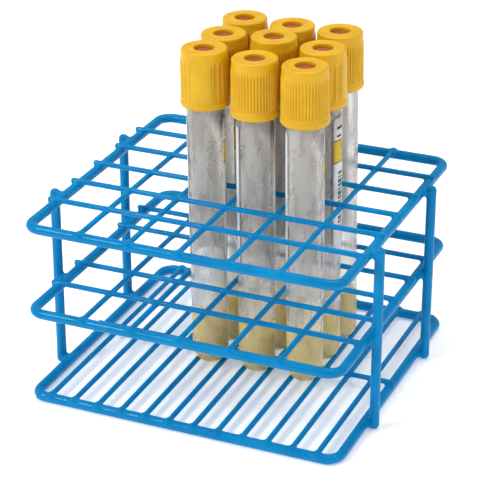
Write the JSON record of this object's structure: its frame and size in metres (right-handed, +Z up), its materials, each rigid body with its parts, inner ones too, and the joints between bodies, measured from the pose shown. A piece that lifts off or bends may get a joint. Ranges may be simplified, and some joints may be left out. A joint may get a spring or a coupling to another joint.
{
  "type": "test tubes in a rack",
  "caption": "Capped round-bottom test tubes with labels and gel plugs standing in a coated-wire bench rack with open square cells.",
  "frame": {"origin": "on the bench, at the centre of the rack's footprint", "axes": "+X along the rack's long front edge, to the right; +Y from front to back; +Z up"},
  "size_m": [0.1236, 0.1124, 0.123],
  "materials": {
    "coated_wire": "glossy blue thermoplastic coating over steel wire",
    "clear_tube": "clear, polished",
    "separator_gel": "translucent beige gel",
    "label_paper": "matt white adhesive label",
    "cap_plastic": "moulded, semi-gloss, ribbed",
    "stopper_rubber": "matt"
  },
  "bodies": {
    "rack": {"base_rim": "coated_wire", "middle_rim": "coated_wire", "top_rim": "coated_wire", "base_grid": "coated_wire", "middle_grid": "coated_wire", "top_grid": "coated_wire", "leg_front_left": "coated_wire", "leg_front_right": "coated_wire", "leg_back_left": "coated_wire", "leg_back_right": "coated_wire"},
    "tube_body_1": {"tube_1": "clear_tube", "gel_1": "separator_gel", "label_1": "label_paper"},
    "closure_1": {"cap_1": "cap_plastic", "stopper_1": "stopper_rubber"},
    "tube_body_2": {"tube_2": "clear_tube", "gel_2": "separator_gel", "label_2": "label_paper"},
    "closure_2": {"cap_2": "cap_plastic", "stopper_2": "stopper_rubber"},
    "tube_body_3": {"tube_3": "clear_tube", "gel_3": "separator_gel", "label_3": "label_paper"},
    "closure_3": {"cap_3": "cap_plastic", "stopper_3": "stopper_rubber"},
    "tube_body_4": {"tube_4": "clear_tube", "gel_4": "separator_gel", "label_4": "label_paper"},
    "closure_4": {"cap_4": "cap_plastic", "stopper_4": "stopper_rubber"},
    "tube_body_5": {"tube_5": "clear_tube", "gel_5": "separator_gel", "label_5": "label_paper"},
    "closure_5": {"cap_5": "cap_plastic", "stopper_5": "stopper_rubber"},
    "tube_body_6": {"tube_6": "clear_tube", "gel_6": "separator_gel", "label_6": "label_paper"},
    "closure_6": {"cap_6": "cap_plastic", "stopper_6": "stopper_rubber"},
    "tube_body_7": {"tube_7": "clear_tube", "gel_7": "separator_gel", "label_7": "label_paper"},
    "closure_7": {"cap_7": "cap_plastic", "stopper_7": "stopper_rubber"},
    "tube_body_8": {"tube_8": "clear_tube", "gel_8": "separator_gel", "label_8": "label_paper"},
    "closure_8": {"cap_8": "cap_plastic", "stopper_8": "stopper_rubber"},
    "tube_body_9": {"tube_9": "clear_tube", "gel_9": "separator_gel", "label_9": "label_paper"},
    "closure_9": {"cap_9": "cap_plastic", "stopper_9": "stopper_rubber"}
  },
  "joints": [
    {"name": "lift_1", "type": "slide", "parent": "rack", "child": "tube_body_1", "axis": [-0.0157, 0, 0.9999], "range_m": [0, 0.125]},
    {"name": "uncap_1", "type": "slide", "parent": "tube_body_1", "child": "closure_1", "axis": [-0.0157, 0, 0.9999], "range_m": [0, 0.03]},
    {"name": "lift_2", "type": "slide", "parent": "rack", "child": "tube_body_2", "axis": [-0.0122, 0, 0.9999], "range_m": [0, 0.125]},
    {"name": "uncap_2", "type": "slide", "parent": "tube_body_2", "child": "closure_2", "axis": [-0.0122, 0, 0.9999], "range_m": [0, 0.03]},
    {"name": "lift_3", "type": "slide", "parent": "rack", "child": "tube_body_3", "axis": [-0.0122, 0, 0.9999], "range_m": [0, 0.125]},
    {"name": "uncap_3", "type": "slide", "parent": "tube_body_3", "child": "closure_3", "axis": [-0.0122, 0, 0.9999], "range_m": [0, 0.03]},
    {"name": "lift_4", "type": "slide", "parent": "rack", "child": "tube_body_4", "axis": [-0.0192, 0, 0.9998], "range_m": [0, 0.125]},
    {"name": "uncap_4", "type": "slide", "parent": "tube_body_4", "child": "closure_4", "axis": [-0.0192, 0, 0.9998], "range_m": [0, 0.03]},
    {"name": "lift_5", "type": "slide", "parent": "rack", "child": "tube_body_5", "axis": [-0.014, 0, 0.9999], "range_m": [0, 0.125]},
    {"name": "uncap_5", "type": "slide", "parent": "tube_body_5", "child": "closure_5", "axis": [-0.014, 0, 0.9999], "range_m": [0, 0.03]},
    {"name": "lift_6", "type": "slide", "parent": "rack", "child": "tube_body_6", "axis": [-0.0157, 0, 0.9999], "range_m": [0, 0.125]},
    {"name": "uncap_6", "type": "slide", "parent": "tube_body_6", "child": "closure_6", "axis": [-0.0157, 0, 0.9999], "range_m": [0, 0.03]},
    {"name": "lift_7", "type": "slide", "parent": "rack", "child": "tube_body_7", "axis": [-0.014, 0, 0.9999], "range_m": [0, 0.125]},
    {"name": "uncap_7", "type": "slide", "parent": "tube_body_7", "child": "closure_7", "axis": [-0.014, 0, 0.9999], "range_m": [0, 0.03]},
    {"name": "lift_8", "type": "slide", "parent": "rack", "child": "tube_body_8", "axis": [-0.0157, 0, 0.9999], "range_m": [0, 0.125]},
    {"name": "uncap_8", "type": "slide", "parent": "tube_body_8", "child": "closure_8", "axis": [-0.0157, 0, 0.9999], "range_m": [0, 0.03]},
    {"name": "lift_9", "type": "slide", "parent": "rack", "child": "tube_body_9", "axis": [-0.0192, 0, 0.9998], "range_m": [0, 0.125]},
    {"name": "uncap_9", "type": "slide", "parent": "tube_body_9", "child": "closure_9", "axis": [-0.0192, 0, 0.9998], "range_m": [0, 0.03]}
  ]
}
